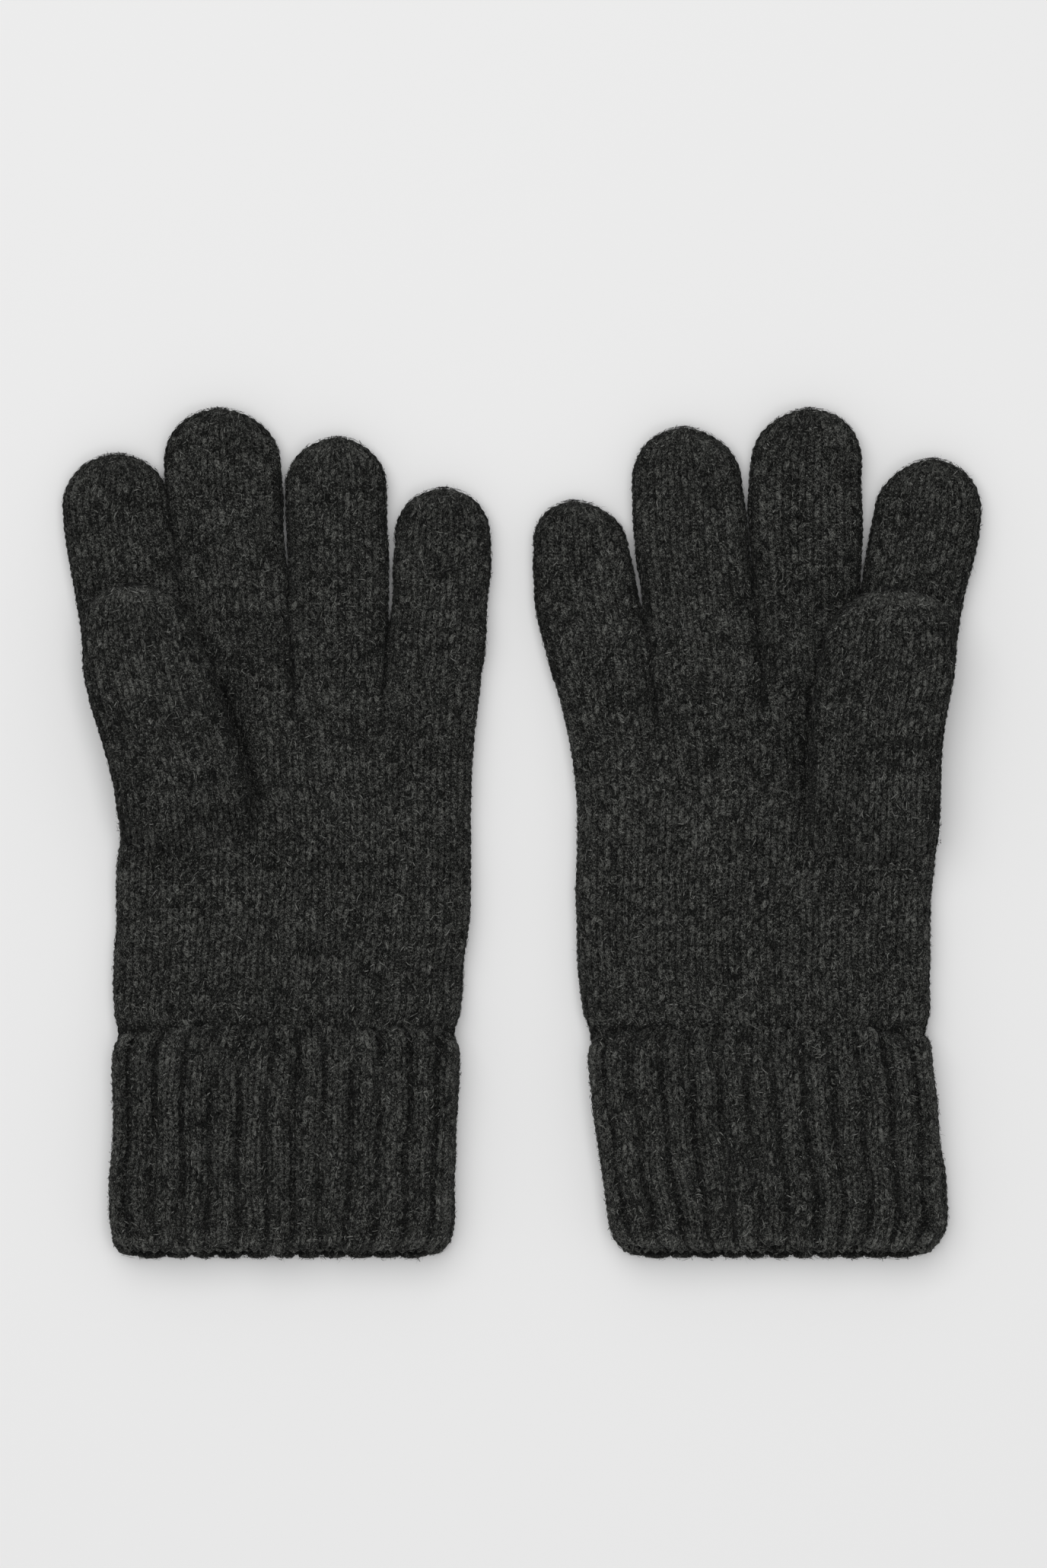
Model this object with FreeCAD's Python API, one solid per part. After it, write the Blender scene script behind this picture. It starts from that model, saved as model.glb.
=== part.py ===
import FreeCAD, Part
import math
import os

# A pair of knitted gloves lying flat, palm side up, fingers towards +Y, thumbs folded over the palms,
# ribbed wrists turned back on themselves as cuffs. Millimetres. Z = 0 is the surface the pair lies on,
# the origin is under the middle of the pair. Each glove is a set of hollow, flattened knitted tubes.

V = FreeCAD.Vector

# ---- driving dimensions -------------------------------------------------------------------------
HALF_SPAN_X = 140.8          # half of the width of the pair, over the index fingers
HALF_SPAN_Y = 130.0          # half of the length, middle fingertip to the foot of the cuff
WALL = 2.4                   # thickness of the knitted fabric
T_FINGER = 11.5              # thickness of a finger lying flat
T_HAND = 12.0                # thickness of the hand lying flat
R_FINGER = 4.9               # edge rounding of a finger
R_HAND = 5.1                 # edge rounding of the hand
Z_THUMB = 12.5               # underside of the thumb, which lies on the palm
T_THUMB = 11.0               # thickness of the thumb
R_THUMB = 4.7                # edge rounding of the thumb
GAP = 0.2                    # half of the clearance between two neighbouring lengths
Y_CROTCH = 46.3              # level where the fingers leave the hand
Y_WRIST = -36.3              # level of the wrist crease
Y_CUFF_TOP = -60.5           # level of the cast-on edge of the turned-back cuff
EDGE_LENGTH = 3.0            # depth of the cast-on edge
WEB_LENGTH = 5.0             # length of the bridging stitches between two fingers
Z_RIB0, Z_RIB1 = 2.9, 13.1   # underside and top of the inner layer of the rib
Z_CUFF1 = 16.0               # top of the turned-back cuff, whose underside is at 0
R_CUFF = 6.6                 # edge rounding of the cuff
Y_RIB_END = -127.3           # foot of the inner layer
FOOT_SLOPE = 2.9             # how much further the back of the cuff reaches than its front
R_FOOT = 7.5                 # rounding of the two corners at the foot of the cuff

# One entry for each finger: x of its two edges at the crotch level, centre of its round tip, radius
# of the tip, and the levels of its two bends.
GLOVES = {
    "left": {
        "thumb_side": [(-133.1, 46.3), (-130.6, 35.8), (-126.7, 22.0), (-123.8, 8.0), (-123.5, -6.0),
                       (-124.3, -20.0), (-124.9, -36.3)],
        "little_side": [(-12.3, 46.3), (-13.6, 35.8), (-15.0, 22.0), (-15.6, 8.0), (-15.5, -6.0),
                        (-15.7, -20.0), (-16.9, -36.3)],
        "fingers": {
            "index": (-133.0, -103.0, (-124.8, 100.2), 16.0, 81.2, 98.1),
            "middle": (-99.8, -71.5, (-91.3, 112.9), 17.1, 81.2, 105.6),
            "ring": (-68.3, -43.7, (-56.5, 105.7), 15.6, 76.5, 99.1),
            "little": (-40.4, -12.5, (-24.4, 91.0), 14.8, 68.4, 87.0),
        },
        "thumb": (-123.2, -80.3, 0.0, (-117.4, 59.3), 17.1, 31.0),
        "wrist_bottom": (-123.6, -20.6),
        "cuff": (-72.2, 107.2, -1.2),
    },
    "right": {
        "thumb_side": [(132.3, 46.3), (129.4, 35.8), (128.0, 22.0), (127.8, 8.0), (127.2, -6.0),
                       (125.9, -20.0), (125.3, -36.3)],
        "little_side": [(9.9, 46.3), (12.9, 35.8), (15.5, 22.0), (16.9, 8.0), (16.7, -6.0),
                        (16.4, -20.0), (16.8, -36.3)],
        "fingers": {
            "little": (10.0, 38.3, (17.8, 86.9), 14.7, 64.2, 82.8),
            "ring": (41.5, 72.2, (50.8, 107.2), 17.2, 77.7, 101.6),
            "middle": (75.4, 100.6, (87.0, 112.6), 17.4, 80.5, 105.6),
            "index": (103.8, 132.2, (124.7, 98.6), 16.1, 80.0, 97.0),
        },
        "thumb": (87.2, 127.4, -2.5, (113.0, 56.4), 18.6, 29.0),
        "wrist_bottom": (20.6, 123.4),
        "cuff": (72.6, 105.6, 6.7),
    },
}

BIG = 400.0


# ---- helpers ------------------------------------------------------------------------------------
def slab(y0, y1):
    """A big block between two levels of Y, used to keep one length of a tube."""
    return Part.makeBox(2 * BIG, y1 - y0, 200.0, V(-BIG, y0, -50.0))


def spline_edge(points):
    curve = Part.BSplineCurve()
    curve.interpolate([V(x, y, 0.0) for x, y in points])
    return curve.toShape()


def pillow(face, height, radius, soft):
    """Extrude a plan face and round the top and bottom edges that the test soft(x, y) accepts."""
    solid = face.extrude(V(0, 0, height))
    edges = []
    for edge in solid.Edges:
        a, b = edge.ParameterRange
        mid = edge.valueAt(0.5 * (a + b))
        ends = [edge.valueAt(a).z, edge.valueAt(b).z, mid.z]
        if max(ends) - min(ends) < 1e-6 and soft(mid.x, mid.y):
            edges.append(edge)
    return solid.makeFillet(radius, edges)


def tangent_points(px, py, cx, cy, r):
    d = math.hypot(px - cx, py - cy)
    base = math.atan2(py - cy, px - cx)
    turn = math.acos(r / d)
    return [(cx + r * math.cos(base + s * turn), cy + r * math.sin(base + s * turn)) for s in (1, -1)]


def finger_face(xl, xr, y0, centre, r):
    """Plan of a flat finger: two straight edges tangent to a round tip."""
    cx, cy = centre
    left = min(tangent_points(xl, y0, cx, cy, r))
    right = max(tangent_points(xr, y0, cx, cy, r))
    lean = math.atan2(cx - 0.5 * (xl + xr), cy - y0)
    top = (cx + r * math.sin(lean), cy + r * math.cos(lean))
    p = [V(xl, y0, 0), V(left[0], left[1], 0), V(top[0], top[1], 0), V(right[0], right[1], 0),
         V(xr, y0, 0)]
    wire = Part.Wire([Part.makeLine(p[0], p[1]), Part.Arc(p[1], p[2], p[3]).toShape(),
                      Part.makeLine(p[3], p[4]), Part.makeLine(p[4], p[0])])
    return Part.Face(wire)


def finger_tube(xl, xr, y0, centre, r, height, edge_radius, z0):
    """Hollow flattened tube with a closed round tip and an open foot."""
    low = 4.0
    slope_l = (centre[0] - r - xl) / (centre[1] - y0)
    slope_r = (centre[0] + r - xr) / (centre[1] - y0)
    xl0, xr0, yl = xl - slope_l * low, xr - slope_r * low, y0 - low
    outer = pillow(finger_face(xl0, xr0, yl, centre, r), height, edge_radius,
                   lambda x, y: y > yl + 0.01)
    inner = pillow(finger_face(xl0 + WALL, xr0 - WALL, yl - 0.5, centre, r - WALL),
                   height - 2 * WALL, edge_radius - WALL, lambda x, y: y > yl - 0.49)
    inner.translate(V(0, 0, WALL))
    tube = outer.cut(inner)
    tube.translate(V(0, 0, z0))
    return tube


def edge_at(xa, centre, r, y0, y, side):
    """x of the straight edge of a finger at level y (side -1 left, +1 right)."""
    pts = tangent_points(xa, y0, centre[0], centre[1], r)
    tx, ty = min(pts) if side < 0 else max(pts)
    return xa + (tx - xa) * (y - y0) / (ty - y0)


def hand_face(left, right, extend):
    def grown(points):
        (x0, y0), (x1, y1) = points[0], points[1]
        k = extend / (y0 - y1)
        (xa, ya), (xb, yb) = points[-1], points[-2]
        m = extend / (yb - ya)
        first = (x0 + (x0 - x1) * k, y0 + extend)
        last = (xa + (xa - xb) * m, ya - extend)
        return [first] + list(points[1:-1]) + [last]
    a, b = grown(left), grown(right)
    e1, e2 = spline_edge(a), spline_edge(b)
    top = Part.makeLine(V(a[0][0], a[0][1], 0), V(b[0][0], b[0][1], 0))
    foot = Part.makeLine(V(a[-1][0], a[-1][1], 0), V(b[-1][0], b[-1][1], 0))
    return Part.Face(Part.Wire(Part.__sortEdges__([e1, foot, e2, top])))


def section_wire(x0, x1, z0, z1, r, y):
    """Rounded rectangle standing in the plane of constant y."""
    k = r * (1 - math.sqrt(0.5))
    pts = [V(x0 + r, y, z0), V(x1 - r, y, z0), V(x1 - k, y, z0 + k), V(x1, y, z0 + r),
           V(x1, y, z1 - r), V(x1 - k, y, z1 - k), V(x1 - r, y, z1), V(x0 + r, y, z1),
           V(x0 + k, y, z1 - k), V(x0, y, z1 - r), V(x0, y, z0 + r), V(x0 + k, y, z0 + k)]
    edges = [Part.makeLine(pts[0], pts[1]), Part.Arc(pts[1], pts[2], pts[3]).toShape(),
             Part.makeLine(pts[3], pts[4]), Part.Arc(pts[4], pts[5], pts[6]).toShape(),
             Part.makeLine(pts[6], pts[7]), Part.Arc(pts[7], pts[8], pts[9]).toShape(),
             Part.makeLine(pts[9], pts[10]), Part.Arc(pts[10], pts[11], pts[0]).toShape()]
    return Part.Wire(edges)


def leaning_tube(x0, x1, z0, z1, r, y0, y1, lean):
    """Hollow tube of constant section between two levels; lean is its shift in x over the length."""
    run = V(lean, y1 - y0, 0)
    outer = Part.Face(section_wire(x0, x1, z0, z1, r, y0)).extrude(run)
    more = 1.0 / abs(y1 - y0)
    start = V(-lean * more, (y0 - y1) * more, 0)
    inner_face = Part.Face(section_wire(x0 + WALL, x1 - WALL, z0 + WALL, z1 - WALL, r - WALL, y0))
    inner_face.translate(start)
    inner = inner_face.extrude(run * (1 + 2 * more))
    return outer.cut(inner)


def rounded_plan(points, radii, height, z0):
    """Prism over a polygon whose corners are rounded."""
    n = len(points)
    edges, joints = [], []
    for i in range(n):
        p = V(points[i][0], points[i][1], z0)
        a = V(points[i - 1][0], points[i - 1][1], z0)
        b = V(points[(i + 1) % n][0], points[(i + 1) % n][1], z0)
        ua, ub = (a - p), (b - p)
        ua.normalize()
        ub.normalize()
        r = radii[i]
        if r <= 0:
            joints.append((p, None, p))
            continue
        half = 0.5 * ua.getAngle(ub)
        reach = r / math.tan(half)
        mid_dir = ua + ub
        mid_dir.normalize()
        centre = p + mid_dir * (r / math.sin(half))
        joints.append((p + ua * reach, centre - mid_dir * r, p + ub * reach))
    for i in range(n):
        start, mid, stop = joints[i]
        if mid is not None:
            edges.append(Part.Arc(start, mid, stop).toShape())
        edges.append(Part.makeLine(stop, joints[(i + 1) % n][0]))
    return Part.Face(Part.Wire(edges)).extrude(V(0, 0, height))


# ---- one glove ----------------------------------------------------------------------------------
def build_glove(side, g):
    nodes = {}
    sides = [g["thumb_side"], g["little_side"]]
    left, right = (sides[0], sides[1]) if side == "left" else (sides[1], sides[0])

    # hand: a wide flat tube, open towards the fingers and the wrist
    outer = pillow(hand_face(left, right, 3.0), T_HAND, R_HAND,
                   lambda x, y: Y_WRIST - 2.9 < y < Y_CROTCH + 2.9)
    inner_left = [(x + WALL, y) for x, y in left]
    inner_right = [(x - WALL, y) for x, y in right]
    inner = pillow(hand_face(inner_left, inner_right, 5.0), T_HAND - 2 * WALL, R_HAND - WALL,
                   lambda x, y: Y_WRIST - 4.9 < y < Y_CROTCH + 4.9)
    inner.translate(V(0, 0, WALL))
    hand = outer.cut(inner).common(slab(Y_WRIST + GAP, Y_CROTCH - 0.05))

    # thumb: joined at a slit across the palm, folded up over the palm
    txl, txr, ty, tc, tr, tbend = g["thumb"]
    passage = Part.makeBox(txr - txl - 14.0, 9.0, 9.0, V(txl + 7.0, ty + 3.4, Z_THUMB - 6.0))
    hand = hand.cut(passage)
    thumb = pillow(finger_face(txl, txr, ty - 6.0, tc, tr), T_THUMB, R_THUMB,
                   lambda x, y: y > ty - 5.9)
    hollow = pillow(finger_face(txl + WALL, txr - WALL, ty - 8.0, tc, tr - WALL),
                    T_THUMB - 2 * WALL, R_THUMB - WALL, lambda x, y: y > ty - 7.9)
    hollow.translate(V(0, 0, WALL))
    hollow = hollow.common(slab(ty + 2.9, 200.0))
    thumb = thumb.cut(hollow)
    thumb.translate(V(0, 0, Z_THUMB))
    # the foot of the thumb leans, so that it clears the palm when the thumb is lifted
    foot = Part.Face(Part.makePolygon([V(-BIG, ty + 0.9, Z_THUMB), V(-BIG, ty + 4.6, Z_THUMB + T_THUMB + 0.2),
                                       V(-BIG, ty - 20.0, Z_THUMB + T_THUMB + 0.2),
                                       V(-BIG, ty - 20.0, Z_THUMB - 0.2), V(-BIG, ty + 0.9, Z_THUMB - 0.2),
                                       V(-BIG, ty + 0.9, Z_THUMB)])).extrude(V(2 * BIG, 0, 0))
    thumb = thumb.cut(foot).cut(passage)
    nodes["thumb_lower"] = thumb.common(slab(ty - 5.0, tbend - GAP))
    nodes["thumb_upper"] = thumb.common(slab(tbend + GAP, 200.0))
    nodes["hand_shell"] = hand

    # picked-up row of stitches along the slit
    nodes["thumb_seam"] = rounded_plan(
        [(txl + 1.5, ty - 3.6), (txr - 1.5, ty - 3.6), (txr - 1.5, ty - 0.5), (txl + 1.5, ty - 0.5)],
        [1.4] * 4, 0.7, T_HAND + 0.03)

    # fingers, each in three lengths
    order = sorted(g["fingers"], key=lambda name: g["fingers"][name][0])
    for name in order:
        xl, xr, c, r, pip, dip = g["fingers"][name]
        tube = finger_tube(xl, xr, Y_CROTCH, c, r, T_FINGER, R_FINGER, 0.0)
        nodes[name + "_root"] = tube.common(slab(Y_CROTCH + 0.05, pip - GAP))
        nodes[name + "_mid"] = tube.common(slab(pip + GAP, dip - GAP))
        nodes[name + "_tip"] = tube.common(slab(dip + GAP, 200.0))

    # bridging stitches in the three crotches
    webs = []
    for a, b in zip(order[:-1], order[1:]):
        fa, fb = g["fingers"][a], g["fingers"][b]
        y0, y1 = Y_CROTCH + 0.05, Y_CROTCH + WEB_LENGTH
        pts = []
        for y in (y0, y1):
            xa = edge_at(fa[1], fa[2], fa[3], Y_CROTCH, y, +1)
            xb = edge_at(fb[0], fb[2], fb[3], Y_CROTCH, y, -1)
            pts.append((xa + 0.25, y))
            pts.append((xb - 0.25, y))
        webs.append(rounded_plan([pts[0], pts[1], pts[3], pts[2]], [0] * 4, T_FINGER - 2.4, 1.2))
    nodes["crotch_joins"] = Part.makeCompound(webs)

    # wrist: plain knit that narrows into the rib
    wl, wr = left[-1][0], right[-1][0]
    bl, br = g["wrist_bottom"]
    ya, yb = Y_WRIST - GAP, Y_CUFF_TOP + 0.6
    out_a = section_wire(wl, wr, 0.0, T_HAND, R_HAND, ya)
    out_b = section_wire(bl, br, 1.4, T_HAND + 1.2, R_HAND, yb)
    in_a = section_wire(wl + WALL, wr - WALL, WALL, T_HAND - WALL, R_HAND - WALL, ya + 0.0)
    in_b = section_wire(bl + WALL, br - WALL, 1.4 + WALL, T_HAND + 1.2 - WALL, R_HAND - WALL, yb)
    shell = Part.makeLoft([out_a, out_b], True, True)
    # the hollow runs past both ends along the same straight lines
    k = 1.0 / (ya - yb)

    def past(pa, pb, m):
        return pa + (pa - pb) * m
    a0 = section_wire(past(wl, bl, k) + WALL, past(wr, br, k) - WALL, past(0.0, 1.4, k) + WALL,
                      past(T_HAND, T_HAND + 1.2, k) - WALL, R_HAND - WALL, ya + 1.0)
    b0 = section_wire(past(bl, wl, k) + WALL, past(br, wr, k) - WALL, past(1.4, 0.0, k) + WALL,
                      past(T_HAND + 1.2, T_HAND, k) - WALL, R_HAND - WALL, yb - 1.0)
    nodes["wrist_sleeve"] = shell.cut(Part.makeLoft([a0, b0], True, True))

    # rib: inner layer, then the turned-back outer layer with its cast-on edge
    cx, cw, lean = g["cuff"]
    per = lean / (Y_CUFF_TOP + HALF_SPAN_Y)
    x0, x1 = cx - 0.5 * cw, cx + 0.5 * cw
    inset = WALL + 0.5
    y_rib = Y_CUFF_TOP + 0.4
    nodes["wrist_rib"] = leaning_tube(x0 + inset, x1 - inset, Z_RIB0, Z_RIB1, 4.6, y_rib, Y_RIB_END,
                                      per * (y_rib - Y_RIB_END))
    nodes["cuff_edge"] = leaning_tube(x0, x1, 0.0, Z_CUFF1, R_CUFF, Y_CUFF_TOP,
                                      Y_CUFF_TOP - EDGE_LENGTH, per * EDGE_LENGTH)
    yc = Y_CUFF_TOP - EDGE_LENGTH - 0.1
    shift = per * (EDGE_LENGTH + 0.1)
    cuff = leaning_tube(x0 + shift, x1 + shift, 0.0, Z_CUFF1, R_CUFF, yc, -HALF_SPAN_Y,
                        per * (yc + HALF_SPAN_Y))
    run = Y_CUFF_TOP + HALF_SPAN_Y
    plan = rounded_plan([(x0 - 1.0, -50.0), (x1 + 1.0, -50.0), (x1 + 0.01 + per * run, -HALF_SPAN_Y),
                         (x0 - 0.01 + per * run, -HALF_SPAN_Y)], [0, 0, R_FOOT, R_FOOT], 30.0, -5.0)
    slope = Part.Face(Part.makePolygon([V(-BIG, -HALF_SPAN_Y + FOOT_SLOPE, Z_CUFF1 + 0.5),
                                        V(-BIG, -HALF_SPAN_Y - 5.0, Z_CUFF1 + 0.5),
                                        V(-BIG, -HALF_SPAN_Y - 5.0, 1.0), V(-BIG, -HALF_SPAN_Y, 1.0),
                                        V(-BIG, -HALF_SPAN_Y + FOOT_SLOPE, Z_CUFF1 + 0.5)])
                      ).extrude(V(2 * BIG, 0, 0))
    nodes["cuff"] = cuff.common(plan).cut(slope)
    return nodes


def main():
    os.makedirs("parts", exist_ok=True)
    whole = FreeCAD.BoundBox()
    for side, g in GLOVES.items():
        for name, shape in build_glove(side, g).items():
            solids = shape.Solids
            want = 3 if name == "crotch_joins" else 1
            body = solids[0] if len(solids) == 1 else Part.makeCompound(solids)
            box = body.BoundBox
            whole.add(box)
            print("%-22s solids %d valid %s vol %.0f  x %.1f %.1f y %.1f %.1f z %.2f %.2f%s" % (
                side + "_" + name, len(solids), body.isValid(), body.Volume, box.XMin, box.XMax,
                box.YMin, box.YMax, box.ZMin, box.ZMax, "" if len(solids) == want else "  <-- COUNT"))
            body.exportStep("parts/%s_%s.step" % (side, name))
    print("whole", whole)


main()
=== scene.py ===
import bpy
import math
import numpy as np
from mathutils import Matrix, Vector


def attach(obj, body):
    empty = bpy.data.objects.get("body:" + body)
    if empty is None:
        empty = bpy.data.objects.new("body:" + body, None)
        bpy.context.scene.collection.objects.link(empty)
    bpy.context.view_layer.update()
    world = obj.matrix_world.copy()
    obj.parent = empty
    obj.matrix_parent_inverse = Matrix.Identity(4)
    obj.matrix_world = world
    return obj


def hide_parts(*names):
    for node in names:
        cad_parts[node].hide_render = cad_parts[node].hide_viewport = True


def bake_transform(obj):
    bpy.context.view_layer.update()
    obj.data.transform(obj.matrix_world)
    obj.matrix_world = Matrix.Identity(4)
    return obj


# A pair of knitted gloves. Every stitch is modelled: a surface is laid out in wales (a) and courses
# (b), a yarn follows the loops of plain knit or rib on it, and loose fibres stand on the yarn.
# Lengths below are in millimetres in the row frame, and turn into metres when a mesh is written.

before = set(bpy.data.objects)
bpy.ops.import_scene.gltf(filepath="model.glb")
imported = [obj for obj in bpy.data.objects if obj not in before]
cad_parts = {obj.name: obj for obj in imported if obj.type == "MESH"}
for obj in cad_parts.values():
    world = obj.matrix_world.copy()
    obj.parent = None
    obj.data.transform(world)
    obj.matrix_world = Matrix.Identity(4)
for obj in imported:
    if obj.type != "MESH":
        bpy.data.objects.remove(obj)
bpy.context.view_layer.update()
RNG = np.random.default_rng(20240611)
MM = 0.001

COURSE = 2.4          # height of a course
YARN_H = 0.52         # how far the legs of a loop stand before the middle of the fabric
SKIN = 1.25           # outside of the yarn to the middle of the fabric


# ---------------------------------------------------------------- small numeric helpers
def smooth(x, lo, hi):
    t = np.clip((x - lo) / (hi - lo), 0.0, 1.0)
    return t * t * (3 - 2 * t)


def pchip(y, ys, vs):
    """Monotone cubic through the points (ys rising)."""
    ys, vs = np.asarray(ys, float), np.asarray(vs, float)
    h = np.diff(ys)
    d = np.diff(vs) / h
    m = np.zeros_like(vs)
    m[0], m[-1] = d[0], d[-1]
    for i in range(1, len(vs) - 1):
        if d[i - 1] * d[i] > 0:
            w1, w2 = 2 * h[i] + h[i - 1], h[i] + 2 * h[i - 1]
            m[i] = (w1 + w2) / (w1 / d[i - 1] + w2 / d[i])
    y = np.asarray(y, float)
    yc = np.clip(y, ys[0], ys[-1])
    i = np.clip(np.searchsorted(ys, yc, side="right") - 1, 0, len(ys) - 2)
    t = (yc - ys[i]) / h[i]
    v = ((2 * t**3 - 3 * t**2 + 1) * vs[i] + (t**3 - 2 * t**2 + t) * h[i] * m[i]
         + (-2 * t**3 + 3 * t**2) * vs[i + 1] + (t**3 - t**2) * h[i] * m[i + 1])
    return v + np.where(y < ys[0], (y - ys[0]) * m[0], 0) + np.where(y > ys[-1], (y - ys[-1]) * m[-1], 0)


class Noise:
    """Smooth repeatable waves over the plan, for slack in the fabric."""

    def __init__(self, seed, scale, terms=9):
        r = np.random.default_rng(seed)
        ang = r.uniform(0, 2 * np.pi, terms)
        k = r.uniform(0.5, 1.5, terms) * 2 * np.pi / scale
        self.kx, self.ky, self.kz = k * np.cos(ang), k * np.sin(ang), r.uniform(-1, 1, terms) * k * 0.6
        self.ph, self.n = r.uniform(0, 2 * np.pi, terms), terms

    def __call__(self, x, y, z=0.0):
        out = 0.0
        for i in range(self.n):
            out = out + np.sin(self.kx[i] * x + self.ky[i] * y + self.kz[i] * z + self.ph[i])
        return out / math.sqrt(self.n / 2.0)


def stadium(f, hw, ht):
    """Point on a flattened ring at fraction f of its length: 0 is the leftmost point, the upper side
    comes first, 0.5 is the rightmost. hw and ht are half sizes. Returns x, z about the centre."""
    ht = np.minimum(ht, hw)
    flat = hw - ht
    per = 4 * flat + 2 * np.pi * ht
    f = np.mod(f, 1.0)
    up = np.where(f <= 0.5, 1.0, -1.0)
    s = np.where(f <= 0.5, f, 1.0 - f) * per
    q = 0.5 * np.pi * ht
    ang1 = np.clip(s, 0, q) / np.maximum(ht, 1e-6)
    ang2 = np.clip(s - q - 2 * flat, 0, q) / np.maximum(ht, 1e-6)
    x = -hw + ht * (1 - np.cos(ang1)) + np.clip(s - q, 0, 2 * flat) + ht * np.sin(ang2)
    z = np.where(s < q, ht * np.sin(ang1), np.where(s > q + 2 * flat, ht * np.cos(ang2), ht))
    return x, up * z


def dome(u, yc, reach, k=0.5):
    """Level along a finger for the distance u followed over its rounded end."""
    th0 = math.asin(k)
    e = np.maximum(u - yc - k * reach, 0.0)
    th = np.minimum(th0 + e / (reach * math.cos(th0)), 1.5640)
    return np.where(u > yc + k * reach, yc + reach * np.sin(th), u)


def dome_end(yc, reach, k=0.5):
    th0 = math.asin(k)
    return yc + k * reach + (1.5708 - th0) * reach * math.cos(th0)


def stadium_fraction(x, hw, ht):
    """Fraction of the ring at which the upper side has plan position x."""
    ht = min(ht, hw)
    flat, q = hw - ht, 0.5 * math.pi * ht
    per = 4 * flat + 2 * math.pi * ht
    if x <= -hw + ht:
        s = ht * math.acos(min(1.0, max(-1.0, 1 - (x + hw) / ht)))
    elif x >= hw - ht:
        s = q + 2 * flat + ht * math.asin(min(1.0, (x - hw + ht) / ht))
    else:
        s = q + (x + hw - ht)
    return s / per


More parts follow.
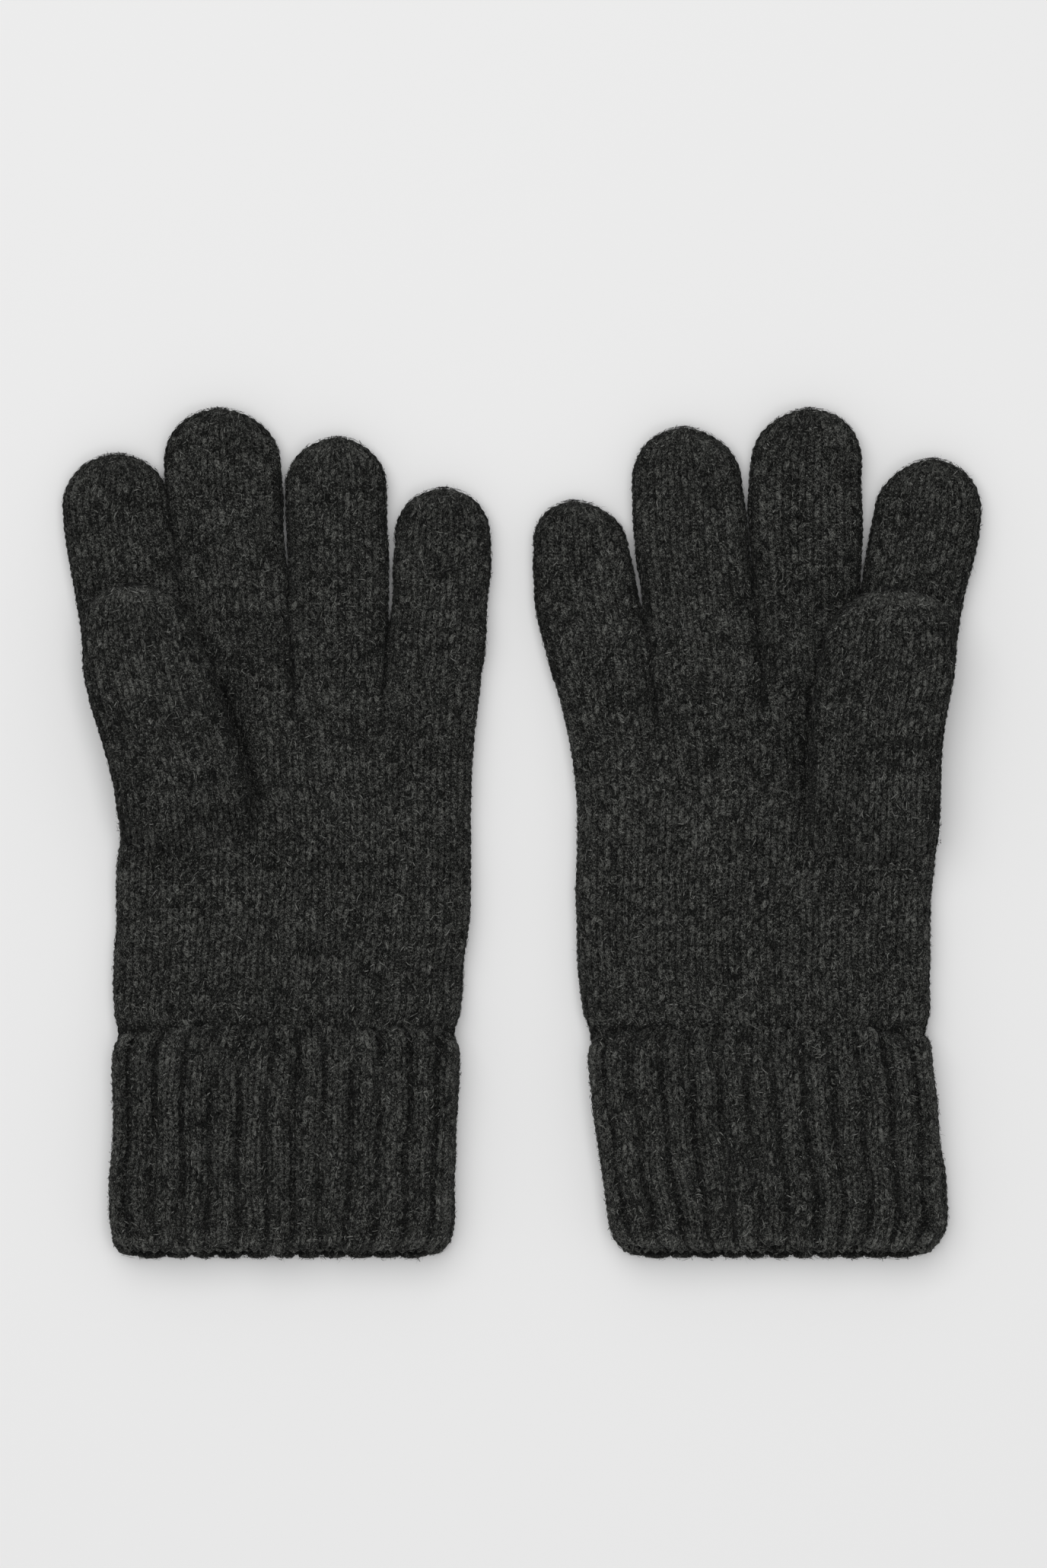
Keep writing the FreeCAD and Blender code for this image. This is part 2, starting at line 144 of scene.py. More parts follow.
# ---------------------------------------------------------------- shapes of the two gloves
GLOVES = {
    "left": {
        "fingers": {
            "index": {"rows": [(46.3, -133.1, -101.5), (54.4, -134.3, -102.3), (63.7, -135.4, -103.0), (73.0, -136.9, -103.8), (82.3, -138.4, -104.6), (91.6, -139.9, -105.9), (99.4, -140.7, -107.4)], "tip": (-124.0, 116.3), "wales": 9, "pip": 81.2, "dip": 98.1},
            "middle": {"rows": [(46.3, -101.3, -70.0), (59.1, -103.6, -70.4), (73.0, -105.5, -71.3), (87.0, -107.3, -72.0), (100.9, -109.0, -72.8), (112.8, -109.8, -73.8)], "tip": (-92.6, 130.2), "wales": 9, "pip": 81.2, "dip": 105.6},
            "ring": {"rows": [(46.3, -69.8, -42.0), (59.1, -70.6, -41.3), (73.0, -71.3, -40.7), (87.0, -72.0, -40.6), (96.3, -72.2, -40.8), (106.0, -72.3, -41.3)], "tip": (-56.4, 121.4), "wales": 8, "pip": 76.5, "dip": 99.1},
            "little": {"rows": [(46.3, -41.8, -12.4), (54.4, -41.0, -11.1), (63.7, -40.4, -10.3), (73.0, -40.0, -9.7), (82.3, -39.8, -9.4), (90.9, -39.5, -9.4)], "tip": (-23.8, 105.8), "wales": 9, "pip": 68.4, "dip": 87.0},
        },
        "palm": [(-64.2, -124.8, -19.2), (-57.2, -125.0, -18.9), (-47.9, -125.2, -17.9), (-38.6, -125.0, -17.1), (-29.3, -124.5, -16.2), (-20.0, -124.3, -15.6), (-10.7, -124.2, -15.3), (-6.0, -123.7, -15.4), (-1.4, -123.2, -15.5), (3.3, -123.2, -15.6), (7.9, -123.5, -15.5), (17.2, -125.5, -15.2), (26.5, -128.0, -14.4), (35.8, -130.6, -13.5), (46.3, -133.1, -12.4)],
        "thumb": {"rows": [(-1.4, -123.2, -79.9), (4.4, -123.6, -80.8), (12.6, -124.4, -82.2), (21.9, -126.6, -84.8), (31.2, -129.2, -87.8), (40.5, -132.0, -90.8), (49.8, -133.8, -94.0), (57.5, -134.4, -97.6)], "tip": (-119.0, 76.3), "wales": 12, "slit": 0.0, "bend": 31.0, "inner": 1.0},
        "cuff": [(-129.8, -124.9, -23.2), (-127.5, -125.7, -21.6), (-125.1, -125.9, -21.0), (-117.7, -126.2, -20.3), (-108.4, -126.2, -20.0), (-94.4, -126.0, -19.7), (-80.5, -125.8, -19.0), (-66.5, -125.2, -18.4), (-63.0, -124.3, -19.3), (-61.2, -123.4, -20.2), (-60.2, -122.2, -21.3)],
        "lean": -1.2,
    },
    "right": {
        "fingers": {
            "little": {"rows": [(46.3, 9.9, 40.0), (54.4, 7.6, 39.1), (63.7, 5.5, 37.8), (73.0, 3.7, 36.3), (82.3, 3.1, 34.3), (87.0, 3.4, 33.0)], "tip": (16.0, 101.9), "wales": 8, "pip": 64.2, "dip": 82.8},
            "ring": {"rows": [(46.3, 40.2, 73.7), (59.1, 38.7, 72.6), (73.0, 36.4, 71.2), (87.0, 34.6, 69.9), (96.3, 33.8, 69.1), (107.0, 33.9, 68.0)], "tip": (49.4, 124.4), "wales": 9, "pip": 77.7, "dip": 101.6},
            "middle": {"rows": [(46.3, 73.9, 102.0), (59.1, 72.9, 102.9), (73.0, 71.5, 103.6), (87.0, 70.1, 104.2), (100.9, 69.3, 104.5), (112.6, 69.8, 104.4)], "tip": (88.3, 130.2), "wales": 8, "pip": 80.5, "dip": 105.6},
            "index": {"rows": [(46.3, 102.2, 132.2), (54.4, 102.3, 133.1), (63.7, 102.7, 134.4), (73.0, 103.5, 136.2), (82.3, 104.7, 138.2), (91.6, 106.5, 140.0), (98.1, 108.1, 140.7)], "tip": (126.0, 114.7), "wales": 9, "pip": 80.0, "dip": 97.0},
        },
        "palm": [(-64.2, 19.7, 125.0), (-57.2, 19.0, 125.0), (-47.9, 17.8, 125.2), (-38.6, 16.9, 125.2), (-29.3, 16.6, 125.5), (-20.0, 16.4, 125.8), (-10.7, 16.6, 126.6), (-1.4, 16.9, 127.5), (7.9, 17.0, 127.8), (17.2, 16.2, 128.0), (26.5, 15.0, 128.5), (35.8, 12.9, 129.6), (46.3, 9.9, 132.2)],
        "thumb": {"rows": [(-3.7, 86.9, 127.8), (3.3, 86.9, 128.0), (12.6, 87.3, 128.1), (21.9, 87.8, 128.4), (31.2, 88.3, 129.2), (40.5, 88.7, 130.8), (49.8, 90.0, 132.5), (56.0, 91.6, 132.9)], "tip": (114.0, 75.1), "wales": 12, "slit": -2.5, "bend": 29.0, "inner": -1.0},
        "cuff": [(-129.8, 31.0, 126.0), (-127.5, 28.6, 128.2), (-125.1, 27.3, 129.2), (-117.7, 26.0, 130.5), (-108.4, 24.8, 130.2), (-94.4, 22.7, 128.9), (-80.5, 20.8, 127.7), (-66.5, 19.9, 126.5), (-63.0, 20.7, 125.8), (-61.2, 21.6, 124.9), (-60.2, 22.8, 123.8)],
        "lean": 6.7,
    },
}


class Ring:
    """A knitted tube: at(a, y) gives the middle of its fabric, a in wales round it, y along it.
    In a rib three wales make one repeat: two broad plain ones and a narrow sunken purl one."""

    def __init__(self, wales, shape, seed, rib=False, slack=1.0, painted_shading=None):
        # map of painted light and shade on the tone, when the ring has one
        self.painted_shading = painted_shading
        self.n, self.shape, self.slack = wales, shape, Noise(seed, 26.0)
        self.ripple = Noise(seed + 7, 9.0)
        self.rib, self.amount = rib, slack
        self.sway = Noise(seed + 11, 34.0)

    def at(self, a, y):
        f = np.mod(a, self.n)
        if self.rib:
            r = f / 3.0
            k = np.floor(r)
            f = 3.0 * (k + np.interp(r - k, [0.0, 1 / 3, 2 / 3, 1.0], [0.0, 0.395, 0.79, 1.0]))
            turn = 2 * np.pi * f / self.n
            f = f + 0.13 * self.sway(38.0 * np.cos(turn), y, 38.0 * np.sin(turn))
        x, yy, z = self.shape(np.mod(f, self.n) / self.n, y)
        w = (0.34 * self.slack(x, y, z) + 0.12 * self.ripple(x, y, z)) * self.amount
        n = 0.16 * self.slack(x + 40.0, y, z) * self.amount
        return np.stack([x + n, yy, z + w], -1)

    def relief(self, a, y):
        """How far the surface stands in or out of the plain one."""
        if not self.rib:
            return 0.0 * a
        r = np.interp(np.mod(a, 3.0) / 3.0, [0.0, 1 / 3, 2 / 3, 1.0], [0.0, 0.395, 0.79, 1.0])
        v = np.minimum(np.abs(r - 0.895), 1 - np.abs(r - 0.895))
        depth = 1.0 - 0.60 * smooth(-y, 122.5, 128.5) - 0.35 * smooth(y, -66.0, -61.0)
        return (0.45 - 1.15 * (1 - smooth(v, 0.0, 0.5)) - 1.15 * np.exp(-(v / 0.14) ** 2)) * depth

    def shade(self, a, y):
        """Painted light and shade in the tone: painted shade in hollows and on the sunken wales of a rib, a painted
        highlight on the fold at its foot, and painted shade on the layer turned in below the fold.
        """
        if self.painted_shading is not None:
            # painted shade where the map is above zero, painted light where it is below
            return -4.2 * self.painted_shading(np.mod(a, self.n) / self.n, y)
        if not self.rib:
            return 0.0 * a
        r = np.interp(np.mod(a, 3.0) / 3.0, [0.0, 1 / 3, 2 / 3, 1.0], [0.0, 0.395, 0.79, 1.0])
        v = np.minimum(np.abs(r - 0.895), 1 - np.abs(r - 0.895))
        # painted shade on the sunken wales, a painted highlight on the fold at the foot, painted shade on the layer
        # turned in below it
        return 0.6 - 2.9 * np.exp(-(v / 0.20) ** 2) + 2.2 * np.exp(-((y + 127.9) / 1.3) ** 2) * (y > -131.0) - 2.5 * (y < -130.5)


def sides(f, y):
    """Painted shade: how much darker the tone is made on the walls of a finger, where it lies against its neighbour."""
    return 0.62 * np.exp(-(np.minimum(np.minimum(f, 1 - f), np.abs(f - 0.5)) / 0.055) ** 2)


def finger_shape(d, thick, base, near=(1, 1), high=78.0, trim=0.0):
    ys = [r[0] for r in d["rows"]]
    xl = [r[1] for r in d["rows"]]
    xr = [r[2] for r in d["rows"]]
    tx, ty = d["tip"]
    yc = ys[-1]
    reach = ty - SKIN - yc

    def shape(f, u):
        y = dome(u, yc, reach)
        left, right = pchip(np.minimum(y, yc), ys, xl) + SKIN, pchip(np.minimum(y, yc), ys, xr) - SKIN
        # low down the fingers touch
        more = 0.55 * (1 - smooth(y, 58.0, high)) - trim * smooth(y, 69.0, 76.0) * (1 - smooth(y, 86.0, 94.0))
        left, right = left - near[0] * more, right + near[1] * more
        hw0 = 0.5 * (right - left)
        xc0 = 0.5 * (left + right)
        t = np.clip((y - yc) / reach, 0.0, 1.0)
        hw = hw0 * np.sqrt(1 - t**2)
        xc = xc0 + (tx - xc0) * np.clip((y - yc) / reach, 0, 1) ** 1.3
        far = np.clip(ty - SKIN - y, 0.01, None)
        ht0 = 0.5 * thick - SKIN
        ht = ht0 * np.sqrt(1 - (1 - np.clip(far / 8.5, 0, 1)) ** 2)
        x, z = stadium(f, hw, ht)
        flat = np.clip(1 - (x / np.maximum(hw, 0.1)) ** 2, 0, 1)
        # an empty finger is a little hollow along its middle
        z = z - np.sign(z) * 0.55 * flat * smooth(far, 4.0, 14.0)
        return xc + x, y + 0 * x, base + 0.5 * thick + z
    return shape, dome_end(yc, reach)


def thumb_shape(d, base, thick):
    ys = [r[0] for r in d["rows"]]
    xl = [r[1] for r in d["rows"]]
    xr = [r[2] for r in d["rows"]]
    tx, ty = d["tip"]
    yc, slit, inner = ys[-1], d["slit"], d["inner"]
    reach = ty - SKIN - yc

    def shape(f, u):
        y = dome(u, yc, reach)
        yy = np.clip(y, slit - 1.4, yc)
        left, right = pchip(yy, ys, xl) + SKIN, pchip(yy, ys, xr) - SKIN
        hw0, xc0 = 0.5 * (right - left), 0.5 * (left + right)
        t = np.clip((y - yc) / reach, 0.0, 1.0)
        hw = hw0 * np.sqrt(1 - t**2.2)
        xc = xc0 + (tx - xc0) * np.clip((y - yc) / reach, 0, 1) ** 1.3
        far = np.clip(ty - SKIN - y, 0.01, None)
        ht0 = 0.5 * thick - SKIN
        ht = ht0 * np.sqrt(1 - (1 - np.clip(far / 4.5, 0, 1)) ** 2)
        x, z = stadium(f, hw, ht)
        flat = np.clip(1 - (x / np.maximum(hw, 0.1)) ** 2, 0, 1)
        z = z - np.sign(z) * 0.5 * flat * smooth(far, 4.0, 14.0)
        # the outer half rises from a crease at the slit, the inner half grows slowly out of the palm
        outer = np.clip((y - slit + 1.4) / 13.0, 0, 1)
        outer = 0.04 + 0.96 * (1 - (1 - outer) ** 1.9)
        slow = smooth(y - slit, -3.0, 19.0)
        w = smooth(inner * x / hw, -0.25, 0.85) * (1 - smooth(y - slit, 9.0, 19.0))
        grow = outer * (1 - w) + slow * w
        sink = 1.6 * w * (1 - slow) ** 2
        # its lower layer lies on the palm
        bow = 4.6 * np.clip(1 - (x / np.maximum(hw, 0.1)) ** 2, 0, 1) * (1 - smooth(y - slit, -1.0, 20.0))
        return xc + x, y - bow, base + SKIN * 0.9 + (z + ht0) * grow - sink
    return shape, dome_end(yc, reach)


def palm_shape(g, names, wales):
    ys = [r[0] for r in g["palm"]]
    xl = [r[1] for r in g["palm"]]
    xr = [r[2] for r in g["palm"]]
    fingers = [g["fingers"][n] for n in names]
    bounds = [0.5 * (a["rows"][0][2] + b["rows"][0][1]) for a, b in zip(fingers[:-1], fingers[1:])]
    thick = 12.0
    ht = 0.5 * thick - SKIN

    td = g["thumb"]
    t_side = 2 if td["inner"] > 0 else 1
    ty = [r[0] for r in td["rows"]]
    tx = [r[t_side] for r in td["rows"]]

    def section(ff, y):
        left, right = pchip(y, ys, xl) + SKIN, pchip(y, ys, xr) - SKIN
        hw, xc = 0.5 * (right - left), 0.5 * (left + right)
        x, z = stadium(ff, hw, ht)
        drop = 0.0
        for i, b in enumerate(bounds):
            # the crease between two fingers runs on into the palm and fades
            bx = b + (b - 0.5 * (xl[-1] + xr[-1])) * -0.0022 * (46.3 - y)
            d = np.abs(xc + x - bx)
            deep = 0.30 * smooth(y, 8.0 + 5.0 * ((i * 2) % 3), 40.0) + 0.66 * smooth(y, 37.0, 46.6)
            wide = ht * (0.62 + 0.40 * smooth(y, 36.0, 46.3))
            r = np.clip(d / wide, 0, 1)
            drop = np.maximum(drop, deep * (1 - np.sqrt(np.clip(1 - (1 - r) ** 2, 0, 1))) * ht)
        # the palm sinks a little along the inner side of the thumb
        edge = pchip(np.clip(y, ty[0], 50.0), ty, tx) + 0.6 * td["inner"]
        sunk = 3.0 * smooth(y, td["slit"] + 2.0, td["slit"] + 15.0)
        drop = np.maximum(drop, sunk * np.exp(-((xc + x - edge) / 2.7) ** 2) * smooth(z, 0.0, 3.0))
        flat = np.clip(1 - (x / hw) ** 2, 0, 1)
        z = np.sign(z) * np.maximum(np.abs(z) - drop, 0.22 * np.abs(z))
        # above the rib the slack fabric bulges, then it runs in under the cuff
        bulge = 1.5 * np.exp(-((y + 52.5) / 5.5) ** 2) * flat**0.3 * smooth(z, 0.0, 3.0)
        near = smooth(-y, 54.5, 61.0)
        x = x * (1 - near * 1.2 / hw)
        z = z * (1 - 0.16 * near) + bulge + 0.9 * near
        return xc + x, y + 0 * x, 0.5 * thick + z

    # painted shade: how much darker the tone is made along the inner side of the thumb, in the creases between the
    # fingers and where the fabric runs in under the cuff
    def painted_shading(f, y):
        x = shape(f, y)[0]
        out = (0.62 if td["inner"] > 0 else 0.40) * np.exp(-((x - pchip(np.clip(y, ty[0], 50.0), ty, tx) - 0.9 * td["inner"]) / 2.0) ** 2) * smooth(y, td["slit"] + 3.0, td["slit"] + 16.0) * (f < 0.5)
        for i, b in enumerate(bounds):
            bx = b + (b - 0.5 * (xl[-1] + xr[-1])) * -0.0022 * (46.3 - y)
            out = np.maximum(out, np.exp(-((x - bx) / 1.5) ** 2) * (0.15 + 0.85 * smooth(y, 30.0, 44.0)) * smooth(y, 14.0 + 5.0 * ((i * 2) % 3), 32.0))
        # painted shade on the line where the fabric runs in behind the top of the cuff
        return np.maximum(out, 0.8 * smooth(-y, 56.5, 60.0))

    # the wales spread evenly over the section, hollows included
    levels = np.linspace(-70.0, 50.0, 61)
    fine = np.linspace(0.0, 0.5, 900)
    pos = np.linspace(0.0, 1.0, wales * 2 + 1)
    table = []
    for y in levels:
        x, _, z = section(fine, np.full(len(fine), y))
        run = np.concatenate([[0.0], np.cumsum(np.hypot(np.diff(x), np.diff(z)))])
        table.append(np.interp(pos * run[-1], run, fine))
    table = np.array(table)

    def shape(f, y):
        up = f <= 0.5
        g2 = np.where(up, f, 1.0 - f) * 2 * (len(pos) - 1)
        yi = np.clip((y - levels[0]) / (levels[1] - levels[0]), 0, len(levels) - 1.001)
        gi = np.clip(g2, 0, len(pos) - 1.001)
        i, k = np.floor(yi).astype(int), np.floor(gi).astype(int)
        u, v = yi - i, gi - k
        ff = ((1 - u) * ((1 - v) * table[i, k] + v * table[i, k + 1])
              + u * ((1 - v) * table[i + 1, k] + v * table[i + 1, k + 1]))
        ff = np.where(up, ff, 1.0 - ff)
        return section(ff, y)
    return shape, 2 * wales, painted_shading


def cuff_shape(g, side):
    ys = [r[0] for r in g["cuff"]]
    xl = [r[1] for r in g["cuff"]]
    xr = [r[2] for r in g["cuff"]]
    wave = Noise(31 + len(side), 30.0)

    def shape(f, y):
        # past the foot the fabric turns inwards and runs back up inside
        foot = -128.2
        over = np.clip(foot - y, 0.0, None)
        rr = 1.35
        ang = np.clip(over / rr, 0, np.pi)
        back = np.clip(over - np.pi * rr, 0, None)
        yr = np.maximum(y, foot) - rr * np.sin(ang) + back
        left, right = pchip(np.clip(yr, -129.8, -60.2), ys, xl) + SKIN, pchip(np.clip(yr, -129.8, -60.2), ys, xr) - SKIN
        hw, xc = 0.5 * (right - left), 0.5 * (left + right)
        inward = rr * (1 - np.cos(ang))
        top = np.sqrt(np.clip((y + 65.0) / 4.6, 0, 1)) ** 3
        ht = 8.0 - SKIN - inward - 1.0 * top
        hw = hw - inward
        x, z = stadium(f, hw, ht)
        flat = np.clip(1 - (x / hw) ** 2, 0, 1)
        # the front of the foot lies a little short of the back
        yr = yr + (3.0 + 0.55 * wave(1.7 * x, 40.0)) * smooth(z, 0.0, 4.0) * smooth(-yr, 116.0, 128.0)
        # and its corners are rounded
        corner = np.clip((np.abs(x) - (hw - 7.0)) / 7.0, 0, 1)
        yr = yr + 3.2 * (1 - np.sqrt(np.clip(1 - corner**2, 0, 1))) * smooth(-yr, 118.0, 128.2)
        # the cast-on edge bows a little
        yr = yr + (1.7 * flat - 1.1 + 0.45 * wave(1.3 * (xc + x), 0.0, z)) * smooth(y, -76.0, -60.5)
        z = z - np.sign(z) * 0.45 * flat
        return xc + x, yr, 8.0 + z + 0.25 * wave(xc + x, y, 0.0) * smooth(z, 0.0, 3.0)
    return shape


def rib_shape(g, side):
    ys = [r[0] for r in g["cuff"]]
    xl = [r[1] for r in g["cuff"]]
    xr = [r[2] for r in g["cuff"]]

    def shape(f, y):
        yr = np.clip(y, -129.0, -56.0)
        left, right = pchip(np.clip(yr, -124.0, -68.0), ys, xl) + 4.1, pchip(np.clip(yr, -124.0, -68.0), ys, xr) - 4.1
        near = smooth(y, -70.0, -58.0)
        hw, xc = 0.5 * (right - left) + 0.3 * near, 0.5 * (left + right)
        x, z = stadium(f, hw, 3.6 + 0.0 * near)
        return xc + x, y + 0 * x, 8.0 + z
    return shape


# ---------------------------------------------------------------- meshes
class Build:
    """Collects vertices and faces of one piece."""

    def __init__(self, name):
        self.name = name
        self.v, self.f, self.uv, self.yarn, self.tone, self.mat = [], [], [], [], [], []
        self.count = 0

    def add(self, verts, faces, uv, yarn, tone, mat):
        self.v.append(verts)
        self.f.append(faces + self.count)
        self.uv.append(uv)
        self.yarn.append(yarn)
        self.tone.append(tone)
        self.mat.append(np.full(len(faces), mat, np.int32))
        self.count += len(verts)

    def make(self, mats):
        v = np.concatenate(self.v) * MM
        v[:, 2] = np.maximum(v[:, 2], 0.00005)
        f = np.concatenate(self.f)
        me = bpy.data.meshes.new(self.name)
        me.vertices.add(len(v))
        me.vertices.foreach_set("co", v.astype(np.float32).ravel())
        me.loops.add(f.size)
        me.loops.foreach_set("vertex_index", f.astype(np.int32).ravel())
        me.polygons.add(len(f))
        me.polygons.foreach_set("loop_start", np.arange(0, f.size, 4, dtype=np.int32))
        me.polygons.foreach_set("material_index", np.concatenate(self.mat))
        me.polygons.foreach_set("use_smooth", np.ones(len(f), bool))
        layer = me.uv_layers.new(name="OFBake")
        layer.data.foreach_set("uv", np.concatenate(self.uv).astype(np.float32).ravel())
        layer = me.uv_layers.new(name="Yarn")
        layer.data.foreach_set("uv", np.concatenate(self.yarn).astype(np.float32).ravel())
        at = me.attributes.new("tone", "FLOAT", "POINT")
        at.data.foreach_set("value", np.concatenate(self.tone).astype(np.float32))
        me.update()
        me.validate()
        for m in mats:
            me.materials.append(m)
        o = bpy.data.objects.new(self.name, me)
        bpy.context.scene.collection.objects.link(o)
        return o


def surface_frame(at, a, y, da=0.12, dy=0.35, lift=None):
    p = at(a, y)
    pa = at(a + da, y) - at(a - da, y)
    py = at(a, y + dy) - at(a, y - dy)
    n = np.cross(pa, py)
    ln = np.linalg.norm(n, axis=-1, keepdims=True)
    n = n / np.maximum(ln, 1e-9)
    if lift is not None:
        p = p + n * lift(a, y)[..., None]
    return p, n, np.linalg.norm(pa, axis=-1) / (2 * da)


NT = 12               # points along one stitch
THREAD = 0.222        # half thickness of the yarn for each unit of wale width
PHI = np.radians([-104.0, -36.0, 36.0, 104.0])


def knit(build, ring, y0, rows, kind=None, fibres=1.0, seed=1, nt=NT, phi=PHI, v0=0.0, v1=0.93,
         loft=1.0, flip=False, course=COURSE):
    """Rows of loops from level y0 upwards. kind holds one number for each wale: 1 plain, -1 purl."""
    rng = np.random.default_rng(seed)
    n = ring.n
    m = n * nt
    kind = np.ones(n) if kind is None else np.asarray(kind, float)
    tau = np.arange(m) / nt
    t = tau - np.floor(tau)
    wale = np.floor(tau).astype(int)
    j = np.arange(rows)[:, None]
    # small differences from loop to loop
    jig_b = rng.normal(0, 0.045, (rows, n))
    jig_h = rng.normal(0, 0.07, (rows, n))
    jig_w = rng.normal(0, 0.035, (rows, n))
    jig_r = np.clip(rng.normal(1, 0.055, (rows, n)), 0.85, 1.15)
    row_r = np.clip(rng.normal(1, 0.025, (rows, 1)), 0.94, 1.06)
    bell = 0.5 - 0.5 * np.cos(2 * np.pi * t)          # 1 in the head of the loop
    sel = lambda arr: arr[:, wale] * bell
    nxt = lambda arr: 0.5 * (arr[:, wale] + arr[:, (wale + 1) % n]) * (1 - bell)
    alpha = 0.195
    k_here = kind[wale]
    sign = k_here
    sinker_sign = 0.5 * (kind[wale] + kind[np.where(t < 0.5, (wale - 1) % n, (wale + 1) % n)])
    sign = np.where(np.minimum(t, 1 - t) < 0.13, sinker_sign, k_here)
    a = tau + alpha * np.sin(4 * np.pi * t) + sel(jig_w)
    b = j + 0.5 - 0.86 * np.cos(2 * np.pi * t) + sel(jig_b)
    recess = np.where(kind[wale] > 0, 0.0, 1.0)
    recess = np.convolve(np.concatenate([recess[-nt // 2:], recess, recess[:nt // 2]]),
                         np.ones(nt // 2 + 1) / (nt // 2 + 1), "same")[nt // 2:nt // 2 + m]
    h = -YARN_H * np.cos(4 * np.pi * t) * sign + sel(jig_h) + 0.0 * recess
    h = h + 0 * b
    y = y0 + course * b
    if flip:
        h = -h
    aa = np.broadcast_to(a, b.shape)
    p, nn, wid = surface_frame(ring.at, aa, y, lift=ring.relief)
    c = p + nn * h[..., None] * loft
    # direction of the yarn round the closed row
    tang = np.roll(c, -1, axis=1) - np.roll(c, 1, axis=1)
    tang /= np.maximum(np.linalg.norm(tang, axis=-1, keepdims=True), 1e-9)
    up = nn if not flip else -nn
    side = np.cross(tang, up)
    side /= np.maximum(np.linalg.norm(side, axis=-1, keepdims=True), 1e-9)
    up = np.cross(side, tang)
    rad = np.clip(wid * THREAD, 0.36, 1.0) * (sel(jig_r) + nxt(jig_r)) * row_r
    rad = rad * np.where(k_here > 0, 1.0, 0.93)
    rad = np.minimum(rad, course * 0.44)
    step = np.linalg.norm(np.roll(c, -1, axis=1) - c, axis=-1)
    run = np.cumsum(step, axis=1) - step
    s = len(phi)
    ring_pts = (c[:, :, None, :] + rad[:, :, None, None] * (np.cos(phi)[None, None, :, None] * up[:, :, None, :]
                + np.sin(phi)[None, None, :, None] * side[:, :, None, :]))
    verts = ring_pts.reshape(-1, 3)
    closed = s > 6
    i = np.arange(m)
    i2 = (i + 1) % m
    sides = s if closed else s - 1
    q = np.arange(sides)
    q2 = (q + 1) % s
    f = np.stack([i[:, None] * s + q, i2[:, None] * s + q, i2[:, None] * s + q2, i[:, None] * s + q2], -1).reshape(-1, 4)
    f = f[:, ::-1]
    faces = (f[None] + (np.arange(rows) * m * s)[:, None, None]).reshape(-1, 4)
    # bake layout: one cell for each stitch, t upwards and round the yarn sideways
    cu0, cu1 = (q + 0.12) / sides, (q + 1 - 0.12) / sides
    cu0 = (q / sides) * 0.9 + 0.05
    cu1 = ((q + 1) / sides) * 0.9 + 0.05
    tt0, tt1 = t, np.where(t + 1.0 / nt > 0.9999, 1.0, t + 1.0 / nt)
    tv0, tv1 = tt0 * 0.94 + 0.03, tt1 * 0.94 + 0.03
    uu0 = (wale[:, None] + cu0) / n
    uu1 = (wale[:, None] + cu1) / n
    vv0, vv1 = np.broadcast_to(tv0[:, None], uu0.shape), np.broadcast_to(tv1[:, None], uu0.shape)
    # corner order is reversed to match the faces
    cell = np.stack([np.stack([uu1, vv0], -1), np.stack([uu1, vv1], -1), np.stack([uu0, vv1], -1), np.stack([uu0, vv0], -1)], 2)
    cell = cell.reshape(1, -1, 4, 2).repeat(rows, 0)
    cell[..., 1] = v0 + (v1 - v0) * (np.arange(rows)[:, None, None] + cell[..., 1]) / rows
    uv = cell.reshape(-1, 2)
    yr = run[:, :, None] + np.zeros(sides)
    yr2 = (run + step)[:, :, None] + np.zeros(sides)
    pa, pb = np.broadcast_to(phi[q] * 0.9, yr.shape), np.broadcast_to(np.append(phi, phi[0] + 2 * np.pi)[q + 1] * 0.9, yr.shape)
    off = (np.arange(rows) * 37.3)[:, None, None]
    yarn = np.stack([np.stack([yr + off, pb], -1), np.stack([yr2 + off, pb], -1), np.stack([yr2 + off, pa], -1), np.stack([yr + off, pa], -1)], 3)
    leg_tone = rng.normal(0, 0.95, (rows, 2 * n))[:, np.floor(2 * tau + 1e-6).astype(int)]
    patch = rng.normal(0, 1.5, (rows, m))
    patch = 0.5 * patch + 0.3 * (np.roll(patch, 1, 1) + np.roll(patch, -1, 1))
    # the tone holds random differences plus, through ring.shade, painted light and shade
    tone = np.repeat((patch + leg_tone * (0.35 + 0.65 * np.sin(2 * np.pi * t) ** 2) + rng.normal(0, 0.3, (rows, 1)) + 0.85 * ring.shade(aa, y)).reshape(-1), s)
    build.add(verts, faces, uv, yarn.reshape(-1, 2), tone, 0)
